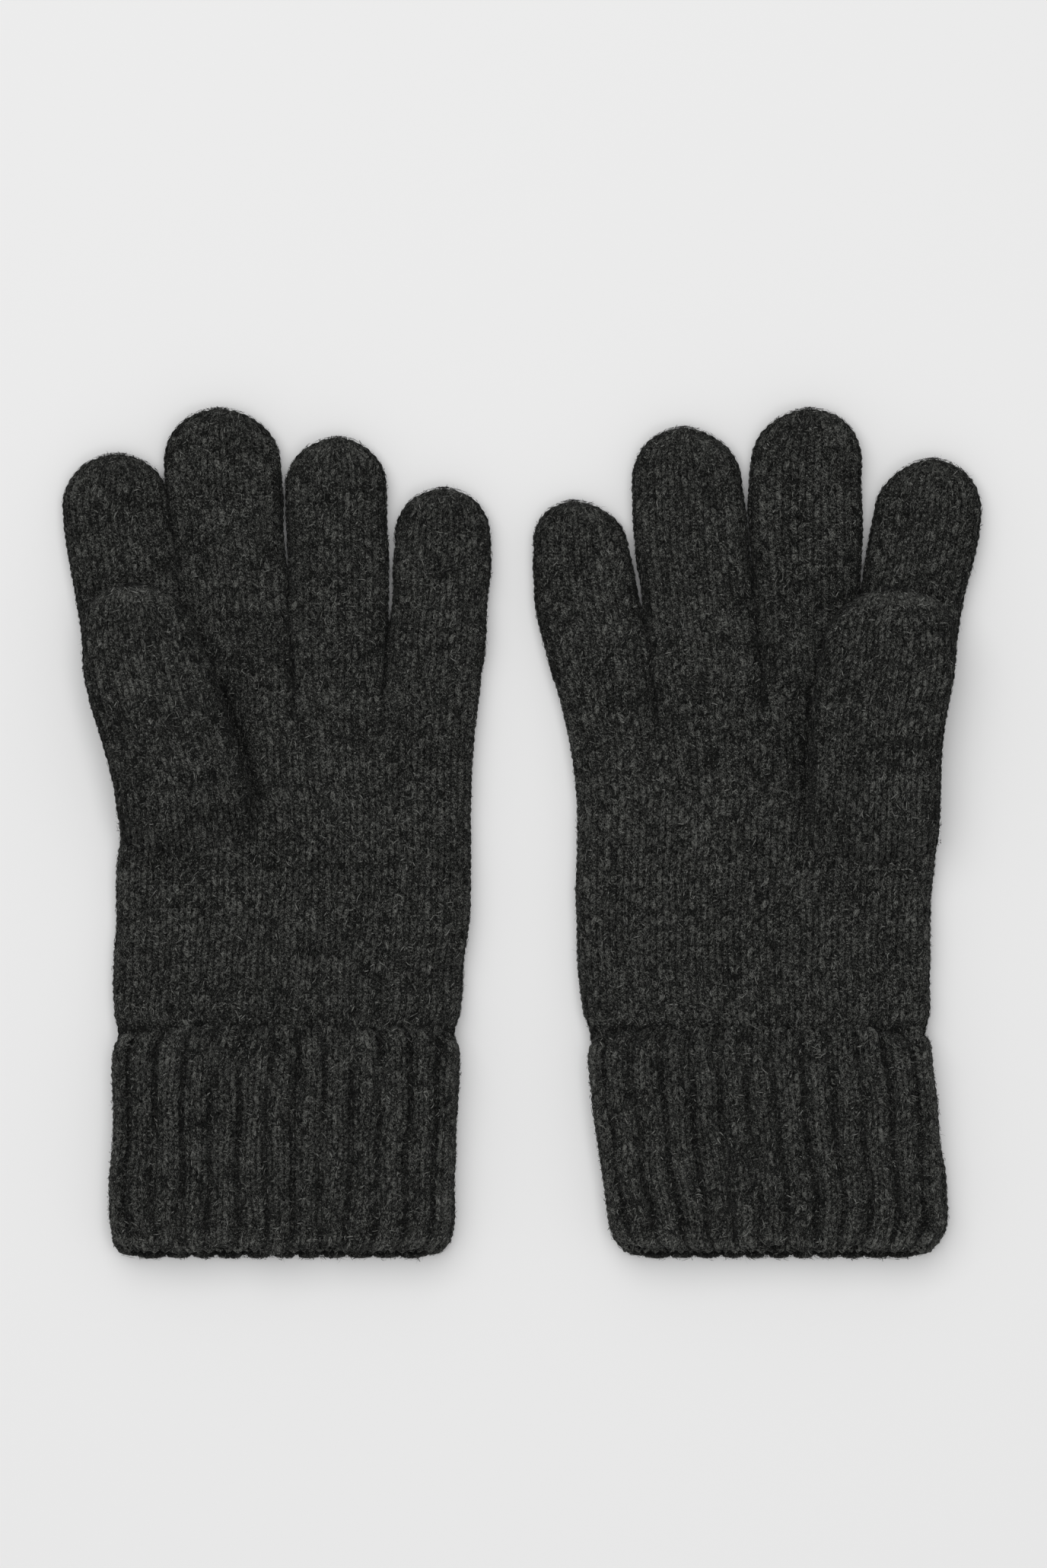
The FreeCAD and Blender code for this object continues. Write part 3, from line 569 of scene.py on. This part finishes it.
    # loose fibres: strands lying along the yarn, and fuzz standing off the fabric
    if fibres > 0:
        area = n * rows
        few = 1.0
        cnt = int(area * 5.0 * fibres * few)
        row = rng.integers(0, rows, cnt)
        leg_t = np.where(rng.random(cnt) < 0.5, 0.25, 0.75) + rng.normal(0, 0.105, cnt)
        u = np.mod((rng.integers(0, n, cnt) + leg_t) * nt, m)
        long = np.clip(rng.gamma(4.0, 0.34, cnt), 0.5, 2.8)
        ph = rng.uniform(-1.15, 1.15, cnt)
        twist = rng.normal(0.42, 0.42, cnt)
        proud = np.where(rng.random(cnt) < 0.25, rng.uniform(0.1, 0.55, cnt), rng.uniform(0.0, 0.10, cnt))
        pts = []
        for k in range(3):
            uu = u + long * 0.5 * k
            i0 = np.floor(uu).astype(int)
            w = (uu - i0)[:, None]
            i0, i1 = i0 % m, (i0 + 1) % m
            pk = ph + twist * long * 0.5 * k
            cc = c[row, i0] * (1 - w) + c[row, i1] * w
            upk = up[row, i0] * (1 - w) + up[row, i1] * w
            sdk = side[row, i0] * (1 - w) + side[row, i1] * w
            rk = (rad[row, i0] * (1 - w[:, 0]) + rad[row, i1] * w[:, 0]) * 1.04
            rk = rk + proud * (0.25, 1.0, 0.8)[k]
            pts.append(cc + rk[:, None] * (np.cos(pk)[:, None] * upk + np.sin(pk)[:, None] * sdk))
        pts = np.stack(pts, 1)
        out = pts[:, 1] - c[row, np.floor(u + long * 0.5).astype(int) % m]
        width = rng.uniform(0.045, 0.125, cnt)
        # the strands take part of the ring's painted light and shade into their tone
        lean = 0.3 * ring.shade(aa, y)[row, np.floor(u).astype(int) % m]
        ribbons(build, pts, out, width, rng.normal(0.0, 1.25, cnt) + lean, rng, 0.945, 0.971)
        cnt = int(area * 8.2 * fibres * few)
        fa, fy = rng.uniform(0, n, cnt), y0 + course * rng.uniform(0, rows, cnt)
        p, nn, wid = surface_frame(ring.at, fa, fy, lift=ring.relief)
        # the fuzz also takes part of the ring's painted light and shade into its tone
        fuzz(build, p, (-nn if flip else nn), rng, SKIN * loft, 0.3 * ring.shade(fa, fy))
    return build


def fuzz(build, p, nn, rng, height, lean):
    """Loose fibres: two in three lie matted over the loops, the others are fine and stand off."""
    cnt = len(p)
    d = rng.normal(size=(cnt, 3))
    d -= nn * np.sum(d * nn, -1, keepdims=True)
    d /= np.maximum(np.linalg.norm(d, axis=-1, keepdims=True), 1e-9)
    mat = rng.random(cnt) < 0.72
    length = np.where(mat, np.clip(rng.gamma(5.0, 0.24, cnt), 0.6, 2.4), np.clip(rng.gamma(3.0, 0.42, cnt), 0.5, 3.0))
    lift = np.where(mat, rng.uniform(-0.10, 0.14, cnt), rng.uniform(0.15, 0.8, cnt))
    side = np.cross(nn, d)
    bend, droop = rng.normal(0, 0.24, cnt), rng.uniform(0.1, 0.6, cnt)
    start = p + nn * (height * np.where(mat, rng.uniform(0.86, 1.06, cnt), rng.uniform(0.6, 0.95, cnt)))[:, None]
    wide = np.where(mat, rng.uniform(0.055, 0.15, cnt), rng.uniform(0.012, 0.028, cnt))
    pts = []
    for k in range(3):
        s = k / 2.0
        pts.append(start + d * (length * s)[:, None] + side * (bend * length * s * s)[:, None]
                   + nn * (lift * length * (s - droop * s * s) * 0.8)[:, None])
    # lean adds the painted light and shade of the fabric below to each fibre's tone
    ribbons(build, np.stack(pts, 1), nn, wide, np.where(mat, rng.normal(-0.55, 1.4, cnt), rng.normal(0.0, 0.6, cnt)) + lean, rng, 0.972, 0.999)


def ribbons(build, pts, out, width, tone, rng, v0, v1):
    cnt = len(pts)
    d = pts[:, 2] - pts[:, 0]
    wv = np.cross(d, out / np.maximum(np.linalg.norm(out, axis=-1, keepdims=True), 1e-9) + 0.3 * rng.normal(size=(cnt, 3)))
    wv /= np.maximum(np.linalg.norm(wv, axis=-1, keepdims=True), 1e-9)
    off = wv[:, None, :] * (width[:, None] * np.array([0.6, 1.0, 0.3]))[:, :, None]
    verts = np.stack([pts - off, pts + off], 2).reshape(-1, 3)
    verts[:, 2] = np.maximum(verts[:, 2], 0.06)
    base = (np.arange(cnt) * 6)[:, None]
    f = np.stack([np.stack([base + 2 * k, base + 2 * k + 1, base + 2 * k + 3, base + 2 * k + 2], -1) for k in range(2)], 1).reshape(-1, 4)
    # bake layout: every fibre has a small cell in a strip of its own
    cols = int(math.ceil(math.sqrt(cnt * 16.0)))
    rws = int(math.ceil(cnt / cols))
    cx, cy = (np.arange(cnt) % cols) / cols, (np.arange(cnt) // cols) / max(rws, 1)
    su, sv = 1.0 / cols, 1.0 / max(rws, 1)
    uv = np.zeros((cnt, 2, 4, 2))
    for k in range(2):
        for c, (du, dv) in enumerate(((0.15, k / 2), (0.85, k / 2), (0.85, (k + 1) / 2), (0.15, (k + 1) / 2))):
            uv[:, k, c, 0] = cx + du * su
            uv[:, k, c, 1] = v0 + (v1 - v0) * (cy + (0.1 + 0.8 * dv) * sv)
    yarn = np.zeros((cnt, 2, 4, 2))
    yarn[..., 0] = rng.uniform(0, 50, cnt)[:, None, None]
    build.add(verts, f, uv.reshape(-1, 2), yarn.reshape(-1, 2), np.repeat(tone, 6), 1)


def backing(build, ring, y0, y1, depth=0.75, per=2, close=False, step=COURSE, inside=None):
    """Closed dark layer behind the yarn, so that nothing shows between the loops: a real layer, and its dark wool is
    painted shade in the gaps between the loops.
    """
    m = ring.n * per
    levels = list(np.arange(y0, y1 + 0.01, step))
    if levels[-1] < y1 - 0.05:
        levels.append(y1)
    a = np.arange(m) / per
    rings = []
    for y in levels:
        p, nn, _ = surface_frame(ring.at, a, np.full(m, y), lift=ring.relief)
        rings.append(p - nn * depth)
    v = np.concatenate(rings)
    i = np.arange(m)
    i2 = (i + 1) % m
    f = [np.stack([k * m + i, k * m + i2, (k + 1) * m + i2, (k + 1) * m + i], -1) for k in range(len(levels) - 1)]
    if close:
        centre = rings[-1].mean(0)[None]
        v = np.concatenate([v, centre])
        c = len(v) - 1
        k = len(levels) - 1
        f.append(np.stack([k * m + i[::2], k * m + (i[::2] + 1) % m, k * m + (i[::2] + 2) % m, np.full(len(i[::2]), c)], -1))
    f = np.concatenate(f)
    uv = np.stack([v[f.ravel()][:, 0] * 0.0008 + 0.3, np.full(f.size, 0.937)], -1)
    yarn = np.stack([v[f.ravel()][:, 0], v[f.ravel()][:, 1]], -1)
    build.add(v, f, uv, yarn, np.zeros(len(v)), 2)


# ---------------------------------------------------------------- materials
def node(tree, kind, **values):
    n = tree.nodes.new(kind)
    for k, val in values.items():
        setattr(n, k, val)
    return n


def ramp(tree, fac, stops, interpolation="LINEAR"):
    r = node(tree, "ShaderNodeValToRGB")
    r.color_ramp.interpolation = interpolation
    while len(r.color_ramp.elements) < len(stops):
        r.color_ramp.elements.new(0.5)
    for e, (pos, col) in zip(r.color_ramp.elements, stops):
        e.position, e.color = pos, (*col, 1.0)
    tree.links.new(fac, r.inputs["Fac"])
    return r.outputs["Color"]


def math_node(tree, op, a, b=None, clamp=False):
    n = node(tree, "ShaderNodeMath", operation=op, use_clamp=clamp)
    for i, x in enumerate((a, b)):
        if x is None:
            continue
        if isinstance(x, (int, float)):
            n.inputs[i].default_value = x
        else:
            tree.links.new(x, n.inputs[i])
    return n.outputs[0]


def mix_rgb(tree, blend, fac, a, b):
    n = node(tree, "ShaderNodeMix", data_type="RGBA", blend_type=blend)
    for sock, x in ((n.inputs[0], fac), (n.inputs[6], a), (n.inputs[7], b)):
        if isinstance(x, (int, float)):
            sock.default_value = x
        elif isinstance(x, tuple):
            sock.default_value = (*x, 1.0)
        else:
            tree.links.new(x, sock)
    return n.outputs[2]


def wool(name, dark, mid, light, fleck, bump=0.35):
    """Marl wool: plied yarn with dark and pale fibres running along it."""
    mat = bpy.data.materials.new(name)
    mat.use_nodes = True
    t = mat.node_tree
    bsdf = t.nodes["Principled BSDF"]
    uv = node(t, "ShaderNodeUVMap", uv_map="Yarn")
    sep = node(t, "ShaderNodeSeparateXYZ")
    t.links.new(uv.outputs["UV"], sep.inputs[0])
    # twist: the fibres run round the yarn as they run along it
    along = sep.outputs["X"]
    around = math_node(t, "ADD", sep.outputs["Y"], math_node(t, "MULTIPLY", along, 0.75))
    comb = node(t, "ShaderNodeCombineXYZ")
    t.links.new(math_node(t, "MULTIPLY", along, 1.35), comb.inputs[0])
    t.links.new(math_node(t, "MULTIPLY", around, 2.3), comb.inputs[1])
    strands = node(t, "ShaderNodeTexNoise", noise_dimensions="2D")
    strands.inputs["Scale"].default_value = 1.55
    strands.inputs["Detail"].default_value = 3.0
    strands.inputs["Roughness"].default_value = 0.65
    t.links.new(comb.outputs[0], strands.inputs["Vector"])
    geo = node(t, "ShaderNodeTexCoord")
    clumps = node(t, "ShaderNodeTexNoise")
    clumps.inputs["Scale"].default_value = 1150.0
    clumps.inputs["Detail"].default_value = 3.0
    clumps.inputs["Roughness"].default_value = 0.6
    t.links.new(geo.outputs["Object"], clumps.inputs["Vector"])
    cloud = node(t, "ShaderNodeTexNoise")
    cloud.inputs["Scale"].default_value = 55.0
    cloud.inputs["Detail"].default_value = 2.0
    t.links.new(geo.outputs["Object"], cloud.inputs["Vector"])
    tone = node(t, "ShaderNodeAttribute", attribute_name="tone")
    value = math_node(t, "ADD", math_node(t, "MULTIPLY", strands.outputs["Fac"], 0.70), math_node(t, "MULTIPLY", clumps.outputs["Fac"], 0.30))
    value = math_node(t, "ADD", math_node(t, "MULTIPLY", value, 1.45), -0.225)
    value = math_node(t, "ADD", value, math_node(t, "MULTIPLY", tone.outputs["Fac"], 0.027))
    value = math_node(t, "ADD", value, math_node(t, "MULTIPLY", math_node(t, "SUBTRACT", cloud.outputs["Fac"], 0.5), 0.05))
    col = ramp(t, value, [(0.42, dark), (0.50, mid), (0.57, light), (0.65, fleck)])
    t.links.new(col, bsdf.inputs["Base Color"])
    bsdf.inputs["Roughness"].default_value = 0.92
    bsdf.inputs["Specular IOR Level"].default_value = 0.10
    bsdf.inputs["Sheen Weight"].default_value = 0.03
    bsdf.inputs["Sheen Roughness"].default_value = 0.55
    bsdf.inputs["Sheen Tint"].default_value = (0.75, 0.76, 0.74, 1.0)
    b = node(t, "ShaderNodeBump")
    b.inputs["Strength"].default_value = bump
    b.inputs["Distance"].default_value = 0.00025
    t.links.new(value, b.inputs["Height"])
    t.links.new(b.outputs[0], bsdf.inputs["Normal"])
    return mat


def fibre_material(name, low, high):
    mat = bpy.data.materials.new(name)
    mat.use_nodes = True
    t = mat.node_tree
    bsdf = t.nodes["Principled BSDF"]
    tone = node(t, "ShaderNodeAttribute", attribute_name="tone")
    geo = node(t, "ShaderNodeTexCoord")
    var = node(t, "ShaderNodeTexNoise")
    var.inputs["Scale"].default_value = 900.0
    t.links.new(geo.outputs["Object"], var.inputs["Vector"])
    v = math_node(t, "ADD", math_node(t, "MULTIPLY", tone.outputs["Fac"], 0.2), var.outputs["Fac"])
    col = ramp(t, v, [(0.30, low), (0.46, tuple(0.88 * a + 0.12 * b for a, b in zip(low, high))),
                       (0.62, tuple(0.66 * a + 0.34 * b for a, b in zip(low, high))), (0.92, high)])
    t.links.new(col, bsdf.inputs["Base Color"])
    bsdf.inputs["Roughness"].default_value = 0.8
    bsdf.inputs["Specular IOR Level"].default_value = 0.12
    bsdf.inputs["Sheen Weight"].default_value = 0.03
    bsdf.inputs["Sheen Roughness"].default_value = 0.5
    return mat


WOOL = wool("marl_wool", (0.0019, 0.0021, 0.0018), (0.0088, 0.0092, 0.0085), (0.0378, 0.0386, 0.0360), (0.122, 0.124, 0.115))
RIBW = wool("marl_wool_rib", (0.0019, 0.0021, 0.0019), (0.0090, 0.0094, 0.0087), (0.0380, 0.0388, 0.0364), (0.122, 0.124, 0.115))
# partly real, partly painted: the layer behind the loops is a darker copy of the marl wool, painted shade for the gaps
# between loops
BACK_WOOL_PAINTED_SHADE = wool("wool_behind_painted_shade", (0.003, 0.0031, 0.003), (0.005, 0.0051, 0.005), (0.008, 0.0081, 0.0078), (0.014, 0.014, 0.0135), 0.1)
FIBRE = fibre_material("wool_fibre", (0.0040, 0.0042, 0.0039), (0.160, 0.162, 0.152))
MATS, RIBMATS = [WOOL, FIBRE, BACK_WOOL_PAINTED_SHADE], [RIBW, FIBRE, BACK_WOOL_PAINTED_SHADE]


# ---------------------------------------------------------------- one glove
ORDER = {"left": ["index", "middle", "ring", "little"], "right": ["little", "ring", "middle", "index"]}
Y_CROTCH = 46.3
Y_PALM_FOOT = -16.0
CUFF_TOP = -60.2


def rows_between(y0, y1):
    return max(1, int(round((y1 - y0) / COURSE)))


def make_glove(side):
    g = GLOVES[side]
    names = ORDER[side]
    seed = 100 if side == "left" else 500
    shape, n_palm, painted_shading = palm_shape(g, names, 29 if side == "left" else 28)
    palm = Ring(n_palm, shape, seed + 1, painted_shading=painted_shading)
    # palm: from above the wrist crease to the fingers
    n_rows = rows_between(Y_PALM_FOOT, Y_CROTCH)
    y_foot = Y_CROTCH - n_rows * COURSE
    b = Build(side + "_palm")
    knit(b, palm, y_foot, n_rows, fibres=0.90, seed=seed + 2)
    backing(b, palm, y_foot - 1.0, Y_CROTCH + 1.5)
    o = b.make(MATS)
    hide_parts(side + "_hand_shell", side + "_crotch_joins")
    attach(o, side + "_hand")
    # wrist: over the wrist crease and into the rib
    n_wrist = rows_between(CUFF_TOP - 4.0, y_foot)
    y_wrist = y_foot - n_wrist * COURSE
    b = Build(side + "_wrist")
    knit(b, palm, y_wrist, n_wrist, seed=seed + 3)
    backing(b, palm, y_wrist - 1.0, y_foot + 1.0)
    o = b.make(MATS)
    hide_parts(side + "_wrist_sleeve")
    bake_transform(o)
    # fingers
    for i, name in enumerate(names):
        d = g["fingers"][name]
        shape, tip = finger_shape(d, 11.6, 0.0, (int(i > 0), int(i < 3)), 70.0 if name == "little" else 78.0, 0.32 if name == "little" else 0.0)
        ring = Ring(2 * d["wales"], shape, seed + 20 + i, painted_shading=sides)
        total = rows_between(Y_CROTCH, tip)
        pip, dip = d["pip"], d["dip"]
        cut = int(round((0.5 * (pip + dip) - Y_CROTCH) / COURSE))
        y_cut = Y_CROTCH + cut * COURSE
        b = Build("%s_%s_lower" % (side, name))
        knit(b, ring, Y_CROTCH, cut, seed=seed + 40 + i)
        backing(b, ring, Y_CROTCH - 3.0, y_cut + 0.6)
        o = b.make(MATS)
        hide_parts("%s_%s_root" % (side, name))
        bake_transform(o)
        b = Build("%s_%s_upper" % (side, name))
        knit(b, ring, y_cut, total - cut, seed=seed + 60 + i)
        backing(b, ring, y_cut - 0.6, tip - 0.6, close=True, step=1.2)
        o = b.make(MATS)
        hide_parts("%s_%s_mid" % (side, name), "%s_%s_tip" % (side, name))
        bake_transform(o)
    # thumb
    d = g["thumb"]
    slit, bend = d["slit"], d["bend"]
    shape, tip = thumb_shape(d, 11.3, 12.2)
    # its round end is painted paler, with painted shade where it turns down and on its walls as on the fingers
    painted_end_shading = lambda f, y: sides(f, y) - 0.45 * smooth(y, tip - 13.0, tip - 9.0) * (1 - smooth(y, tip - 5.5, tip - 4.0)) + 0.9 * smooth(y, tip - 5.5, tip - 3.0)
    ring = Ring(2 * d["wales"], shape, seed + 30, slack=0.7, painted_shading=painted_end_shading)
    y_start = slit - 1.2
    total = rows_between(y_start, tip)
    cut = int(round((slit + 0.55 * (bend - slit) - y_start) / COURSE))
    y_cut = y_start + cut * COURSE
    b = Build(side + "_thumb_lower_knit")
    knit(b, ring, y_start, cut, seed=seed + 80)
    backing(b, ring, y_start, y_cut + 0.6)
    o = b.make(MATS)
    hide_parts(side + "_thumb_lower", side + "_thumb_seam")
    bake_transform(o)
    b = Build(side + "_thumb_upper_knit")
    knit(b, ring, y_cut, total - cut, seed=seed + 81)
    backing(b, ring, y_cut - 0.6, tip - 0.6, close=True, step=1.2)
    o = b.make(MATS)
    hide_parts(side + "_thumb_upper")
    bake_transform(o)
    # inner layer of the rib
    inner = Ring(24 * 3, rib_shape(g, side), seed + 90, rib=True)
    b = Build(side + "_rib_inner")
    kinds = np.tile([1, 1, -1], 24)
    knit(b, inner, -127.0, rows_between(-127.0, -60.0), kind=kinds, fibres=0.3, seed=seed + 91, nt=8,
         phi=np.radians([-100.0, -35.0, 35.0, 100.0]), loft=0.75)
    backing(b, inner, -128.0, -59.5, depth=0.7, per=4)
    o = b.make(RIBMATS)
    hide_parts(side + "_wrist_rib")
    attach(o, side + "_wrist")
    # turned-back cuff, in two lengths, with the fold at its foot
    outer = Ring(26 * 3, cuff_shape(g, side), seed + 95, rib=True)
    kinds = np.tile([1, 1, -1], 26)
    n_cuff = rows_between(-134.8, CUFF_TOP - 0.8)
    y0 = CUFF_TOP - 0.8 - n_cuff * COURSE
    half = n_cuff // 2 + 1
    b = Build(side + "_cuff_foot")
    knit(b, outer, y0, half, kind=kinds, seed=seed + 96)
    backing(b, outer, y0 - 1.0, y0 + half * COURSE + 0.6, depth=0.8, step=0.8, per=4)
    o = b.make(RIBMATS)
    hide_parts(side + "_cuff")
    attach(o, side + "_cuff")
    b = Build(side + "_cuff_top")
    knit(b, outer, y0 + half * COURSE, n_cuff - half, kind=kinds, seed=seed + 97)
    backing(b, outer, y0 + half * COURSE - 0.6, CUFF_TOP - 0.6, depth=0.8, per=4)
    o = b.make(RIBMATS)
    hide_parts(side + "_cuff_edge")
    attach(o, side + "_cuff")


for side in ("left", "right"):
    make_glove(side)

# ---------------------------------------------------------------- floor, light, camera
scene = bpy.context.scene


def floor():
    me = bpy.data.meshes.new("floor")
    s = 4.0
    me.from_pydata([(-s, -s, 0), (s, -s, 0), (s, s, 0), (-s, s, 0)], [], [(0, 1, 2, 3)])
    o = bpy.data.objects.new("floor", me)
    scene.collection.objects.link(o)
    mat = bpy.data.materials.new("floor_paint")
    mat.use_nodes = True
    bsdf = mat.node_tree.nodes["Principled BSDF"]
    bsdf.inputs["Base Color"].default_value = (0.835, 0.835, 0.835, 1.0)
    bsdf.inputs["Roughness"].default_value = 0.85
    bsdf.inputs["Specular IOR Level"].default_value = 0.1
    me.materials.append(mat)


def area(name, size, power, loc, aim=(0, 0, 0)):
    d = bpy.data.lights.new(name, "AREA")
    d.shape, d.size, d.energy = "SQUARE", size, power
    o = bpy.data.objects.new(name, d)
    o.location = loc
    o.rotation_euler = (Vector(aim) - Vector(loc)).to_track_quat("-Z", "Y").to_euler()
    scene.collection.objects.link(o)


floor()
world = bpy.data.worlds.new("studio")
world.use_nodes = True
world.node_tree.nodes["Background"].inputs["Color"].default_value = (1.0, 1.0, 1.0, 1.0)
world.node_tree.nodes["Background"].inputs["Strength"].default_value = 0.42
scene.world = world
area("soft_key", 2.6, 40.0, (-0.45, 1.0, 2.6))
area("soft_top", 1.7, 18.0, (0.2, -0.4, 2.8))

cam_data = bpy.data.cameras.new("camera")
cam = bpy.data.objects.new("camera", cam_data)
scene.collection.objects.link(cam)
cam_data.sensor_fit = "HORIZONTAL"
cam_data.sensor_width = 36.0
cam_data.lens = 300.0
WIDTH_M, CENTRE = 0.320, (0.0006, 0.0149)
cam.location = (CENTRE[0], CENTRE[1], 0.012 + WIDTH_M * cam_data.lens / cam_data.sensor_width)
cam.rotation_euler = (0.0, 0.0, 0.0)
cam_data.clip_end = 20.0
scene.camera = cam
scene.view_settings.view_transform = "Standard"

bpy.context.view_layer.update()
